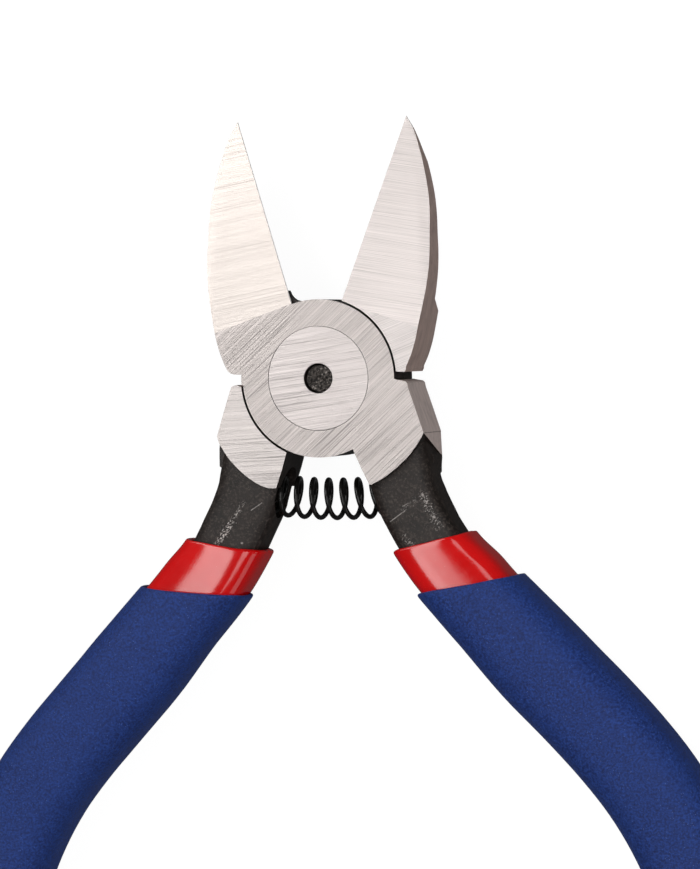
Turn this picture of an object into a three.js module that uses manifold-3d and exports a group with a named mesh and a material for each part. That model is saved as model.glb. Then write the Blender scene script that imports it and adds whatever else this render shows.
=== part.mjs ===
// Sprue nippers: two half-lapped levers on one riveted pivot, a coil return
// spring in blind pockets, and a red inner sleeve under a blue outer grip on
// each handle.  Millimetres.  X across the tool, Y towards the blade tips,
// Z up along the pivot axis.  Origin on the pivot axis, on the back face.
import * as THREE from 'three';
import Module from 'manifold-3d';
import { mergeVertices } from 'three/addons/utils/BufferGeometryUtils.js';

const wasm = await Module();
wasm.setup();

// ---------------------------------------------------------------- dimensions
const HEAD_T = 8.8;            // thickness of the head, back face to front face
const LAP_GAP = 0.3;           // clearance between the two lap discs
const R_DISC = 10.7;           // half-lap disc radius
const R_ARC = 11.0;            // concave arc that runs round the other disc
const TIP_Y = 37.2;            // pivot to blade tip
const TIP_Z = 4.4;             // height of the flush face at the tip
const SLOPE_Y = 10.8;          // where the flush face starts to slope down
const EDGE_X = 0.06;           // half the gap left between closed edges
const EDGE_LAND = 0.28;        // thickness left at the cutting edge
const HOLLOW_Z = 2.7;          // floor of the relief behind the blades
const HOLLOW_K = 0.12;         // curvature of the hollow grind
const OPEN_FRONT = 20.2;       // front lever turned from closed, degrees
const OPEN_BACK = 17.3;        // back lever turned from closed, degrees

const BUSH_R = 7.0;            // flange of the pivot bush
const BUSH_FLANGE = 2.2;       // flange thickness, flush with the front face
const BARREL_R = 4.0;          // barrel of the bush
const PIN_R = 1.85;            // centre pin
const PIN_RECESS = 0.5;        // pin end below the front face
const RUN = 0.15;              // radial clearance round bush and pin

const TANG_T = 7.5;            // handle bar thickness
const HANDLE_Z = 3.9;          // mid-height of the handle bars
const TANG_END_Y = -108;
const POCKET_R = 3.1;          // blind pocket for the return spring
const POCKET_DEPTH = 4.4;
const POCKET_ROOM = 0.8;       // extra pocket height towards the pivot
const POCKET_Y = -16.1;
const SPRING_Y = -16.46;       // spring axis at rest, at its lowest
const SPRING_BOW = 0.0072;     // the axis bows between the two pockets
const SPRING_MID = 0.4;
const SPRING_FAN = 0.0235;     // and the coils fan out, radians per mm
const SPRING_Z = HANDLE_Z;
const SPRING_R = 2.6;          // mean coil radius
const WIRE_R = 0.31;
const SPRING_X0 = -10.1;       // spring ends at rest
const SPRING_X1 = 10.9;
const SPRING_TURNS = 9.23;
const SPRING_PHASE = 3.44;

const SLEEVE_Y = -26.0;        // mouth of the red inner sleeve
const SLEEVE_END_Y = -113;
const GRIP_Y = -33.2;          // mouth of the blue outer grip
const GRIP_END_Y = -118;
const FIT = 0.3;               // gap between nested pieces
const SLIDE = 0.2;             // gap between sleeve and grip

const DEG = Math.PI / 180;

// ---------------------------------------------------------------- helpers
const lerp = (a, b, f) => a + (b - a) * Math.min(Math.max(f, 0), 1);
const ease = f => { const x = Math.min(Math.max(f, 0), 1); return x * x * (3 - 2 * x); };

function toManifold(geometry) {
  const g = geometry.clone();
  g.deleteAttribute('normal');
  g.deleteAttribute('uv');
  const m = mergeVertices(g, 1e-4);
  const tri = m.index.array;
  return new wasm.Manifold(new wasm.Mesh({
    numProp: 3,
    vertProperties: new Float32Array(m.attributes.position.array),
    triVerts: new Uint32Array(tri),
  }));
}

function toGeometry(solid) {
  const mesh = solid.getMesh();
  const pos = new Float32Array(mesh.numVert * 3);
  for (let i = 0; i < mesh.numVert; i++)
    for (let k = 0; k < 3; k++) pos[3 * i + k] = mesh.vertProperties[i * mesh.numProp + k];
  const g = new THREE.BufferGeometry();
  g.setAttribute('position', new THREE.BufferAttribute(pos, 3));
  g.setIndex(new THREE.BufferAttribute(new Uint32Array(mesh.triVerts), 1));
  g.computeVertexNormals();
  return g;
}

function shapeOf(points) {
  return new THREE.Shape(points.map(p => new THREE.Vector2(p[0], p[1])));
}

// straight prism between two heights
function prism(points, z0, z1) {
  const g = new THREE.ExtrudeGeometry(shapeOf(points), { depth: z1 - z0, bevelEnabled: false, steps: 1 });
  g.translate(0, 0, z0);
  return toManifold(g);
}

// upright cylinder
function post(r, z0, z1, seg = 64) {
  const g = new THREE.CylinderGeometry(r, r, z1 - z0, seg);
  g.rotateX(Math.PI / 2);
  g.translate(0, 0, (z0 + z1) / 2);
  return toManifold(g);
}

// smooth line through the given points
function smooth(points, n) {
  const c = new THREE.SplineCurve(points.map(p => new THREE.Vector2(p[0], p[1])));
  return c.getSpacedPoints(n).map(p => [p.x, p.y]);
}

// ---------------------------------------------------------------- handle line
// centre line of the right-hand handle with the tool closed
const LINE = new THREE.CatmullRomCurve3([
  [6.4, -9], [6.25, -12], [6.1, -14], [5.83, -16], [5.66, -18], [5.75, -20], [6.02, -22.2], [6.6, -25.7],
  [7.5, -29.8], [8.6, -33], [9.85, -35.9], [11.2, -38.6], [13.75, -43.8], [16.2, -49.2], [18.65, -54.7],
  [21.2, -60.6], [23.3, -66.6], [24.7, -73], [25.4, -80.3], [25.4, -88.7], [24.8, -97.6], [23.8, -107], [22.5, -118],
].map(p => new THREE.Vector3(p[0], p[1], 0)), false, 'centripetal');
LINE.arcLengthDivisions = 600;
const LINE_LEN = LINE.getLength();

// arc length at which the centre line reaches a given y
function atY(y) {
  let lo = 0, hi = 1;
  for (let i = 0; i < 40; i++) {
    const mid = (lo + hi) / 2;
    if (LINE.getPointAt(mid).y > y) lo = mid; else hi = mid;
  }
  return lo * LINE_LEN;
}

// the two handles are bent by hand: each strays a little from the common line,
// and the left bar is a touch wider
const RIGHT_HAND = { stray: [[15, -0.23], [25, 0.2], [36, 0.03], [50, 0.4], [80, 0.4], [130, 0]], wider: 0 };
const LEFT_HAND = { stray: [[15, -0.08], [27, -0.08], [38, -0.52], [80, -0.47], [130, 0]], wider: 0.14 };
let hand = RIGHT_HAND;
function stray(s) {
  const k = hand.stray;
  if (s <= k[0][0]) return k[0][1];
  for (let i = 1; i < k.length; i++)
    if (s < k[i][0]) return lerp(k[i - 1][1], k[i][1], ease((s - k[i - 1][0]) / (k[i][0] - k[i - 1][0])));
  return k[k.length - 1][1];
}

function frameAt(s) {
  const u = Math.min(Math.max(s / LINE_LEN, 0), 1);
  const p = LINE.getPointAt(u), t = LINE.getTangentAt(u);
  const n = new THREE.Vector2(-t.y, t.x), d = stray(s);
  return { p: new THREE.Vector2(p.x + n.x * d, p.y + n.y * d), n };
}

// rounded section, unit half-width and half-thickness
function roundSection(power, count) {
  const pts = [];
  for (let i = 0; i < count; i++) {
    const a = (i + 0.5) / count * 2 * Math.PI, c = Math.cos(a), s = Math.sin(a);
    const k = Math.pow(Math.pow(Math.abs(c), power) + Math.pow(Math.abs(s), power), -1 / power);
    pts.push([c * k, s * k]);
  }
  return pts;
}

// bar that follows the handle line; size(s) gives [half width, half thickness,
// extra width on the outer side]
function bar(section, s0, s1, steps, size, stations) {
  const g = new THREE.ExtrudeGeometry(shapeOf(section), { depth: 1, bevelEnabled: false, steps });
  const a = g.attributes.position;
  for (let i = 0; i < a.count; i++) {
    const f = stations ? stations(a.getZ(i)) : a.getZ(i);
    const s = s0 + (s1 - s0) * f;
    const [w, t, extra = 0] = size(s, f);
    const fr = frameAt(s);
    const x = a.getX(i), u = x * w + (x > 0 ? extra * x * x * (3 - 2 * x) : 0), v = a.getY(i) * t;
    a.setXYZ(i, fr.p.x + fr.n.x * u, fr.p.y + fr.n.y * u, HANDLE_Z + v);
  }
  // the mapping turns the section over, so the faces are turned back
  if (toSigned(g) < 0) {
    for (let i = 0; i < a.count; i += 3) {
      for (let k = 0; k < 3; k++) {
        const t1 = a.array[3 * (i + 1) + k];
        a.array[3 * (i + 1) + k] = a.array[3 * (i + 2) + k];
        a.array[3 * (i + 2) + k] = t1;
      }
    }
  }
  return toManifold(g);
}

function toSigned(g) {
  const a = g.attributes.position, A = new THREE.Vector3(), B = new THREE.Vector3(), C = new THREE.Vector3();
  let v = 0;
  for (let i = 0; i < a.count; i += 3) {
    A.fromBufferAttribute(a, i); B.fromBufferAttribute(a, i + 1); C.fromBufferAttribute(a, i + 2);
    v += A.dot(B.cross(C));
  }
  return v;
}

// half sizes of the handle bar along its length
const S_TANG = atY(-12.5), S_SLEEVE = atY(SLEEVE_Y), S_GRIP = atY(GRIP_Y);
const S_TANG_END = atY(TANG_END_Y), S_SLEEVE_END = atY(SLEEVE_END_Y), S_GRIP_END = LINE_LEN;
function tangSize(s) {
  const w = s < atY18 ? lerp(4.6, 4.4, (s - S_TANG) / (atY18 - S_TANG)) : lerp(4.4, 3.7, (s - atY18) / 45);
  const t = lerp(TANG_T / 2, 3.3, (s - S_SLEEVE) / 30);
  return [w + hand.wider * (1 - ease((s - 25) / 12)), t];
}
const atY18 = atY(-18);

// ---------------------------------------------------------------- lever halves
// closed-tool outline of the left jaw, from the throat round to the notch
const JAW_OUTER = [
  [-EDGE_X - 0.1, TIP_Y - 0.1], [-1.5, 35.95], [-2.45, 34.85], [-3.3, 33.7], [-4.55, 31.9], [-5.8, 29.9], [-6.95, 27.8],
  [-7.95, 25.5], [-8.75, 23.3], [-9.6, 21.0], [-10.3, 18.7], [-10.85, 16.2], [-11.2, 13.9], [-11.55, 11.2],
  [-11.78, 9.0], [-11.8, 6.9], [-11.62, 5.3],
];
const JAW_HEEL = {
  front: [[-11.44, 4.82], [-10.93, 4.5], [-10.14, 4.22]],
  back: [[-11.42, 4.95], [-11.35, 4.52], [-10.85, 4.36], [-10.36, 4.24]],
};
function jawOutline(k, heel) {
  return [
    [-EDGE_X, TIP_Y],
    ...smooth(JAW_OUTER, 26).map(p => [p[0] * k, p[1]]),
    ...heel,
    [-6.5, 3.9],
    [-3.5, 6.5],
    [-EDGE_X, 9.0],
  ];
}

// right-hand shoulder below the pivot, where the ground plate ends in a curve;
// the two levers are finished by hand, so the curves differ a little
function shoulderOutline(front) {
  const curve = front
    ? [[10.9, -12.4], [9.4, -13.5], [7.8, -14.4], [4.75, -15.55], [1.9, -16.05]]
    : [[10.85, -12.7], [8.64, -14.41], [6.08, -15.66], [3.87, -16.28], [2.27, -16.32], [1.25, -16.0]];
  return [
    ...(front ? [[6.0, -3.6], [10.1, -3.72], [10.36, -3.95], [10.87, -4.25], [11.38, -4.53], [11.56, -4.85]]
      : [[6.0, -4.35], [10.89, -4.4], [11.43, -4.8]]),
    [11.47, -5.4], [11.45, -8.5], [11.4, -11.9],
    ...smooth(curve, 9),
    ...(front ? [[1.55, -13.5], [1.32, -10.9]] : [[1.22, -13.3], [1.3, -10.9]]), [1.6, -7.0],
  ];
}

// the ground side wall runs on down to the bar at the back
function wedge() {
  const v = [[9, -11.5, 0], [9, -11.5, 8.8], [11.4, -11.8, 0], [11.4, -11.8, 8.8], [10.4, -15.1, 0], [9, -15.1, 0]];
  const tri = [[0, 1, 3], [0, 3, 2], [2, 3, 4], [0, 2, 4], [0, 4, 5], [0, 5, 1], [1, 5, 4], [1, 4, 3]];
  const g = new THREE.BufferGeometry();
  g.setAttribute('position', new THREE.Float32BufferAttribute(tri.flat().flatMap(i => v[i]), 3));
  if (toSigned(g) < 0) {
    g.setAttribute('position', new THREE.Float32BufferAttribute(tri.flatMap(t => [t[0], t[2], t[1]]).flatMap(i => v[i]), 3));
  }
  return toManifold(g);
}

// at the back lever the black bar swells out a little beside the plate
function flank() {
  return prism([[9, -11.5], [11.3, -11.9], [11.25, -13.2], [10.85, -14.5], [10.4, -15.9], [9, -16.4]], 0.3, 7.0);
}

function jaw(k, heel) {
  let solid = prism(jawOutline(k, heel), 0, HEAD_T);
  // flush face, sloping from the plane change down to the tip
  const slope = Math.atan2(HEAD_T - TIP_Z, TIP_Y - SLOPE_Y);
  const over = new THREE.BoxGeometry(60, 60, 20);
  over.translate(0, 30, 10);
  over.rotateX(-slope);
  over.translate(0, SLOPE_Y, HEAD_T);
  solid = solid.subtract(toManifold(over));
  // relief behind the blade: hollow ground from the cutting edge to a flat floor
  const section = [];
  for (let i = 0; i <= 10; i++) {
    const x = 7.2 * i / 10;
    section.push([-x, -(EDGE_LAND + HOLLOW_K * x * x)]);
  }
  const hollow = [[1.5, -EDGE_LAND], ...section, [-16, -(EDGE_LAND + HOLLOW_K * 7.2 * 7.2)], [-16, -14], [1.5, -14]];
  const g = new THREE.ExtrudeGeometry(shapeOf(hollow), { depth: 40, bevelEnabled: false, steps: 1 });
  // section x stays across the tool, section y becomes height, depth runs to the tip
  const m = new THREE.Matrix4().makeBasis(
    new THREE.Vector3(1, 0, 0), new THREE.Vector3(0, Math.sin(slope), Math.cos(slope)),
    new THREE.Vector3(0, Math.cos(slope), -Math.sin(slope)));
  g.applyMatrix4(m);
  g.translate(0, SLOPE_Y, HEAD_T);
  const a = g.attributes.position;
  if (toSigned(g.index ? g.toNonIndexed() : g) < 0) {
    for (let i = 0; i < a.count; i += 3)
      for (let k = 0; k < 3; k++) {
        const t1 = a.array[3 * (i + 1) + k];
        a.array[3 * (i + 1) + k] = a.array[3 * (i + 2) + k];
        a.array[3 * (i + 2) + k] = t1;
      }
  }
  let relief = toManifold(g);
  // the relief stops at a sloping step behind the plane change
  const step = new THREE.ExtrudeGeometry(shapeOf([[-0.6, -1], [1.6, HOLLOW_Z], [1.6, 10], [50, 10], [50, -2], [-0.6, -2]]),
    { depth: 40, bevelEnabled: false, steps: 1 });
  step.applyMatrix4(new THREE.Matrix4().makeBasis(
    new THREE.Vector3(0, 1, 0), new THREE.Vector3(0, 0, 1), new THREE.Vector3(1, 0, 0)));
  step.translate(-10, 0, 0);
  step.rotateZ(-21 * DEG);
  step.translate(-11.2, 13.1, 0);
  relief = relief.intersect(toManifold(step));
  // floor of the relief
  const floor = new THREE.BoxGeometry(40, 60, 20);
  floor.translate(0, 30, HOLLOW_Z - 10);
  const deep = toManifold(floor).intersect(toManifold(step));
  solid = solid.subtract(relief.intersect(toManifold((() => {
    const b = new THREE.BoxGeometry(60, 80, 30);
    b.translate(0, 20, HOLLOW_Z + 15 - 0.001);
    return b;
  })()))).subtract(deep);
  return solid;
}

function web() {
  // small unground fillet in the throat, behind the flush face
  return prism([[-1.2, 10.0], [3.5, 9.5], [3.1, 10.1], [2.3, 10.4], [1.5, 10.6], [0.95, 10.8], [0.5, 11.1], [0.2, 11.5], [0, 12.0],
    [-0.08, 12.7], [-1.2, 12.7]], 7.0, 8.0);
}

function tang() {
  const section = roundSection(5, 16);
  return bar(section, S_TANG, S_TANG_END, 26, s => tangSize(s));
}

// blind pocket for the spring, along the rest-pose spring axis, with room above
// the coil because the spring swings towards the pivot as the tool closes
function pocket(turn, mouthX) {
  const side = Math.sign(mouthX), x = mouthX + side * (POCKET_DEPTH - 6);
  const hole = dy => {
    const g = new THREE.CylinderGeometry(POCKET_R, POCKET_R, 12, 28);
    g.rotateZ(Math.PI / 2);
    g.translate(x, POCKET_Y + dy, SPRING_Z);
    return toManifold(g);
  };
  const slot = new THREE.BoxGeometry(12, POCKET_ROOM, 2 * POCKET_R);
  slot.translate(x, POCKET_Y + POCKET_ROOM / 2, SPRING_Z);
  const solid = hole(0).add(hole(POCKET_ROOM)).add(toManifold(slot));
  return solid.rotate([0, 0, -turn]);
}

function lever(front) {
  hand = front ? RIGHT_HAND : LEFT_HAND;
  let solid = jaw(front ? 1.012 : 0.975, front ? JAW_HEEL.front : JAW_HEEL.back)
    .add(prism(shoulderOutline(front), 0, HEAD_T)).add(tang()).add(front ? wedge() : flank());
  if (front) {
    const lap = post(R_ARC, -1, HEAD_T / 2 + LAP_GAP / 2, 72);
    solid = solid.subtract(lap).add(web());
    solid = solid.add(post(R_DISC, HEAD_T / 2 + LAP_GAP / 2, HEAD_T, 72));
    // inner wall of the notch, filed a little proud of the disc
    const wall = [157, 159, 161, 163, 165].map(a => [10.93 * Math.cos(a * DEG), 10.93 * Math.sin(a * DEG)]);
    solid = solid.add(prism([...wall, [-9.8, 2.7], [-9.4, 4.2]], HEAD_T / 2 + LAP_GAP / 2, HEAD_T));
    solid = solid.subtract(post(BARREL_R + RUN, -1, HEAD_T + 1, 48))
      .subtract(post(BUSH_R + RUN, HEAD_T - BUSH_FLANGE - RUN, HEAD_T + 1, 64))
      .subtract(pocket(OPEN_FRONT, 7.1));
    return solid;
  }
  // the back lever is the other hand, with its disc behind
  solid = solid.mirror([1, 0, 0]);
  solid = solid.subtract(post(R_ARC, HEAD_T / 2 - LAP_GAP / 2, HEAD_T + 1, 72));
  solid = solid.add(post(R_DISC, 0, HEAD_T / 2 - LAP_GAP / 2, 72));
  solid = solid.subtract(post(BARREL_R + RUN, -1, HEAD_T + 1, 48));
  return solid.subtract(pocket(-OPEN_BACK, -6.3));
}

// ---------------------------------------------------------------- pivot
function bush() {
  const p = [
    [PIN_R + RUN, 0], [BARREL_R, 0], [BARREL_R, HEAD_T - BUSH_FLANGE], [BUSH_R, HEAD_T - BUSH_FLANGE],
    [BUSH_R, HEAD_T], [PIN_R + RUN, HEAD_T], [PIN_R + RUN, 0],
  ].map(q => new THREE.Vector2(q[0], q[1]));
  const g = new THREE.LatheGeometry(p, 64);
  g.rotateX(Math.PI / 2);
  return g;
}

function pin() {
  const h = HEAD_T - PIN_RECESS;
  const p = [[0, 0], [PIN_R - 0.2, 0], [PIN_R, 0.2], [PIN_R, h - 0.25], [PIN_R - 0.25, h], [0, h]]
    .map(q => new THREE.Vector2(q[0], q[1]));
  const g = new THREE.LatheGeometry(p, 40);
  g.rotateX(Math.PI / 2);
  return g;
}

// ---------------------------------------------------------------- spring
class Coil extends THREE.Curve {
  getPoint(t, target = new THREE.Vector3()) {
    const x = lerp(SPRING_X0 + 0.95, SPRING_X1 - 0.95, t);
    const a = 2 * Math.PI * SPRING_TURNS * (x - SPRING_X0 - WIRE_R) / (SPRING_X1 - SPRING_X0 - 2 * WIRE_R) + SPRING_PHASE;
    const tilt = -SPRING_FAN * (x + 0.8);
    return target.set(x + SPRING_R * Math.cos(a) * Math.sin(tilt),
      SPRING_Y + SPRING_BOW * (x - SPRING_MID) ** 2 + SPRING_R * Math.cos(a) * Math.cos(tilt), SPRING_Z + SPRING_R * Math.sin(a));
  }
}
function spring() {
  const wire = [];
  for (let i = 0; i < 6; i++) wire.push([WIRE_R * Math.cos(i * Math.PI / 3), WIRE_R * Math.sin(i * Math.PI / 3)]);
  return new THREE.ExtrudeGeometry(shapeOf(wire), { steps: 114, bevelEnabled: false, extrudePath: new Coil() });
}

// ---------------------------------------------------------------- sleeves
// the inner sleeve swells on its outer side just below its mouth
const swell = s => 0.7 * ease((s - S_SLEEVE) / 8) * (1 - ease((s - S_SLEEVE - 14) / 10));
function sleeve(mouth) {
  const s0 = S_SLEEVE - 3, s1 = S_SLEEVE_END;
  const outer = bar(roundSection(4, 20), s0, s1, 34, (s, f) => {
    const [w, t] = tangSize(s);
    const end = f > 0.975 ? Math.sqrt(Math.max(0.12, 1 - Math.pow((f - 0.975) / 0.027, 2))) : 1;
    return [(w + 0.95) * end, (t + 0.95) * end, swell(s)];
  });
  const cavity = bar(roundSection(5, 16), s0 - 3, S_TANG_END + FIT, 30, s => {
    const [w, t] = tangSize(s);
    return [w + FIT, t + FIT];
  });
  return outer.subtract(cavity).subtract(above(...mouth));
}

// everything above a line across the handle, used to trim a sleeve's mouth
function above(a, b) {
  const k = (b[1] - a[1]) / (b[0] - a[0]);
  return prism([[-10, a[1] + k * (-10 - a[0])], [40, a[1] + k * (40 - a[0])], [40, 5], [-10, 5]], -20, 30);
}

function gripSize(s) {
  const d = s - S_GRIP;
  const w = lerp(5.92, 6.72, ease(d / 17));
  const t = lerp(5.8, 6.35, ease(d / 16));
  const left = S_GRIP_END - s, round = 6.2;
  const end = left < round ? Math.sqrt(Math.max(0.02, 1 - Math.pow((round - left) / round, 2))) : 1;
  return [w * end, t * end, 0.65 * (1 - ease(d / 20))];
}
function grip(mouth) {
  // stations crowd towards the rounded end
  const st = f => f < 0.74 ? lerp(0, 0.93, f / 0.74) : lerp(0.93, 1, Math.sin((f - 0.74) / 0.26 * Math.PI / 2));
  const outer = bar(roundSection(2.9, 24), S_GRIP - 4, S_GRIP_END, 34, s => gripSize(s), st);
  const cavity = bar(roundSection(4, 20), S_GRIP - 7, S_SLEEVE_END + FIT, 28, (s, f) => {
    const [w, t] = tangSize(s);
    return [w + 0.95 + SLIDE, t + 0.95 + SLIDE, swell(s)];
  });
  return outer.subtract(cavity).subtract(above(...mouth));
}

// ---------------------------------------------------------------- assembly
function part(name, geometry, color, roughness, metalness) {
  const mesh = new THREE.Mesh(geometry, new THREE.MeshStandardMaterial({ color, roughness, metalness }));
  mesh.name = name;
  return mesh;
}

const nippers = new THREE.Group();
const frontHalf = new THREE.Group();
const backHalf = new THREE.Group();
frontHalf.rotation.z = OPEN_FRONT * DEG;
backHalf.rotation.z = -OPEN_BACK * DEG;
nippers.add(frontHalf, backHalf);

const STEEL = 0xcfc6c4, BLACK = 0x2c2927, RED = 0xc4141a, BLUE = 0x2b3f80;

frontHalf.add(part('front_lever', toGeometry(lever(true)), STEEL, 0.35, 1));
backHalf.add(part('back_lever', toGeometry(lever(false)), STEEL, 0.35, 1));

// the mouths are cut by hand too, so each has its own line across the handle
hand = RIGHT_HAND;
const rightSleeve = sleeve([[2, -25.49], [12, -26.25]]), rightGrip = grip([[3, -32.05], [15.8, -33.84]]);
hand = LEFT_HAND;
const leftSleeve = sleeve([[2, -25.35], [12, -26.81]]), leftGrip = grip([[3, -32.18], [15.8, -34.98]]);
frontHalf.add(part('right_inner_sleeve', toGeometry(rightSleeve), RED, 0.25, 0));
frontHalf.add(part('right_outer_grip', toGeometry(rightGrip), BLUE, 0.7, 0));
backHalf.add(part('left_inner_sleeve', toGeometry(leftSleeve.mirror([1, 0, 0])), RED, 0.25, 0));
backHalf.add(part('left_outer_grip', toGeometry(leftGrip.mirror([1, 0, 0])), BLUE, 0.7, 0));

backHalf.add(part('pivot_bush', bush(), STEEL, 0.35, 1));
backHalf.add(part('centre_pin', pin(), BLACK, 0.6, 0.8));
nippers.add(part('return_spring', spring(), 0x161514, 0.35, 0.9));

export default nippers;
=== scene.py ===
import math

import bmesh
import bpy
import numpy as np
from mathutils import Matrix, Vector


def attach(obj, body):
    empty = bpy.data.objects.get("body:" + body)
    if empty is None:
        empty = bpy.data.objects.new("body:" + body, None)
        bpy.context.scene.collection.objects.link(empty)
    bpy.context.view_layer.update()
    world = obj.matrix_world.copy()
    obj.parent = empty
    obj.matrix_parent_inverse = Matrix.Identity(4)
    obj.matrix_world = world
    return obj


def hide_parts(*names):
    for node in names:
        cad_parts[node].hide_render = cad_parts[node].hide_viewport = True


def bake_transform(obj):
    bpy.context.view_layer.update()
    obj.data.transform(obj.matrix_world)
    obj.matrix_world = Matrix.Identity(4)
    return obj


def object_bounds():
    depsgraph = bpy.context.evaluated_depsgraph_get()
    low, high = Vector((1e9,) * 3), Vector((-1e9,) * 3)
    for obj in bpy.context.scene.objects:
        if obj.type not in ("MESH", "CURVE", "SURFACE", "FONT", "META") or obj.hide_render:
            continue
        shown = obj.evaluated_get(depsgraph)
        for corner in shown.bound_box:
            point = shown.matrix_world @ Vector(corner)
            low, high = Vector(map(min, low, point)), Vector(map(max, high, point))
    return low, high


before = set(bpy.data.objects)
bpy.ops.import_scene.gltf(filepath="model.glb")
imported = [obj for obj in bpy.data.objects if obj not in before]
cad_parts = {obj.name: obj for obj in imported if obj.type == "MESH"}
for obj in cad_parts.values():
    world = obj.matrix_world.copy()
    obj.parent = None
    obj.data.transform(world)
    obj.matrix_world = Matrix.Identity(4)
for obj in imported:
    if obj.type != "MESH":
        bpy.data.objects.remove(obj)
CAD_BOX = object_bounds()

# ------------------------------------------------------------------ sizes, mm
HEAD_T, LAP_GAP = 8.8, 0.3
R_DISC, R_ARC = 10.7, 11.0
TIP_Y, TIP_Z, SLOPE_Y = 37.2, 4.4, 10.8
EDGE_X, EDGE_LAND, HOLLOW_Z, HOLLOW_K = 0.06, 0.28, 2.7, 0.12
OPEN_FRONT, OPEN_BACK = 20.2, 17.3
BUSH_R, BUSH_FLANGE, BARREL_R, PIN_R, RUN = 7.0, 2.2, 4.0, 1.85, 0.15
HANDLE_Z, TANG_T, TANG_END_Y = 3.9, 7.5, -108.0
POCKET_R, POCKET_DEPTH, POCKET_ROOM, POCKET_Y = 3.1, 4.4, 0.8, -16.1
SPRING_Y, SPRING_Z, SPRING_R, WIRE_R = -16.46, 3.9, 2.6, 0.31
WIRE_SKIN = 0.335
SPRING_BOW, SPRING_MID, SPRING_FAN, SPRING_PHASE = 0.0072, 0.4, 0.0235, 3.44
SPRING_X0, SPRING_X1, SPRING_TURNS = -10.1, 10.9, 9.23
SLEEVE_Y, SLEEVE_END_Y = -26.0, -113.0
GRIP_Y, GRIP_END_Y = -33.2, -118.0
FIT, SLIDE = 0.3, 0.2
MM = 0.001
DEG = math.pi / 180
TURN = {"front": OPEN_FRONT * DEG, "back": -OPEN_BACK * DEG}
SLOPE = math.atan2(HEAD_T - TIP_Z, TIP_Y - SLOPE_Y)

# ------------------------------------------------------------------ curves


def catmull(points, count, power=0.25):
    """Dense points on a Catmull-Rom line; power 0.25 is centripetal, 0 is uniform."""
    P = np.array(points, float)
    n = len(P)
    out = []
    for i in range(n - 1):
        p1, p2 = P[i], P[i + 1]
        p0 = P[i - 1] if i > 0 else (2 * P[0] - P[1] if power else P[0])
        p3 = P[i + 2] if i + 2 < n else (2 * P[-1] - P[-2] if power else P[-1])
        w = np.linspace(0, 1, count, endpoint=i == n - 2)[:, None]
        if power:
            d0, d1, d2 = [max(float(((b - a) ** 2).sum()) ** power, 1e-4) for a, b in ((p0, p1), (p1, p2), (p2, p3))]
            t1 = ((p1 - p0) / d0 - (p2 - p0) / (d0 + d1) + (p2 - p1) / d1) * d1
            t2 = ((p2 - p1) / d1 - (p3 - p1) / (d1 + d2) + (p3 - p2) / d2) * d1
        else:
            t1, t2 = (p2 - p0) / 2, (p3 - p1) / 2
        out.append(p1 + t1 * w + (-3 * p1 + 3 * p2 - 2 * t1 - t2) * w**2 + (2 * p1 - 2 * p2 + t1 + t2) * w**3)
    return np.concatenate(out)


def spaced(dense, n):
    d = np.concatenate([[0], np.cumsum(np.linalg.norm(np.diff(dense, axis=0), axis=1))])
    s = np.linspace(0, d[-1], n + 1)
    return np.stack([np.interp(s, d, dense[:, k]) for k in range(dense.shape[1])], 1)


def smooth(points, n):
    return [tuple(p) for p in spaced(catmull(points, 60, 0), n)]


LINE = catmull([
    (6.4, -9), (6.25, -12), (6.1, -14), (5.83, -16), (5.66, -18), (5.75, -20), (6.02, -22.2), (6.6, -25.7),
    (7.5, -29.8), (8.6, -33), (9.85, -35.9), (11.2, -38.6), (13.75, -43.8), (16.2, -49.2), (18.65, -54.7),
    (21.2, -60.6), (23.3, -66.6), (24.7, -73), (25.4, -80.3), (25.4, -88.7), (24.8, -97.6), (23.8, -107), (22.5, -118)], 80)
LINE_S = np.concatenate([[0], np.cumsum(np.linalg.norm(np.diff(LINE, axis=0), axis=1))])
LINE_LEN = float(LINE_S[-1])


def lerp(a, b, f):
    return a + (b - a) * np.clip(f, 0, 1)


def ease(f):
    x = np.clip(f, 0, 1)
    return x * x * (3 - 2 * x)


def at_y(y):
    return float(np.interp(-y, -LINE[:, 1], LINE_S))


# each handle strays a little from the common line, and the left bar is a touch wider
STRAY = {"front": [(15, -0.23), (25, 0.2), (36, 0.03), (50, 0.4), (80, 0.4), (130, 0)],
         "back": [(15, -0.08), (27, -0.08), (38, -0.52), (80, -0.47), (130, 0)]}
WIDER = {"front": 0.0, "back": 0.14}
HAND = "front"


def stray(s):
    k = STRAY[HAND]
    out = np.full(np.shape(s), float(k[0][1]))
    for (a, va), (b, vb) in zip(k, k[1:]):
        out = np.where(s >= a, lerp(va, vb, ease((s - a) / (b - a))), out)
    return out


def line_frame(s):
    """Point on the handle line and the unit direction across it, for arc lengths s."""
    s = np.asarray(s, float)
    e = 0.25
    sc = np.clip(s, 0, LINE_LEN)
    p = np.stack([np.interp(sc, LINE_S, LINE[:, k]) for k in (0, 1)], -1)
    a, b = np.clip(sc - e, 0, LINE_LEN), np.clip(sc + e, 0, LINE_LEN)
    t = np.stack([np.interp(b, LINE_S, LINE[:, k]) - np.interp(a, LINE_S, LINE[:, k]) for k in (0, 1)], -1)
    t /= np.linalg.norm(t, axis=-1, keepdims=True)
    n = np.stack([-t[..., 1], t[..., 0]], -1)
    p = p + t * (s - sc)[..., None] + n * stray(s)[..., None]
    return p, n, t


S_TANG, S_SLEEVE, S_GRIP = at_y(-12.5), at_y(SLEEVE_Y), at_y(GRIP_Y)
S_TANG_END, S_SLEEVE_END, S_GRIP_END, S18 = at_y(TANG_END_Y), at_y(SLEEVE_END_Y), LINE_LEN, at_y(-18)


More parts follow.
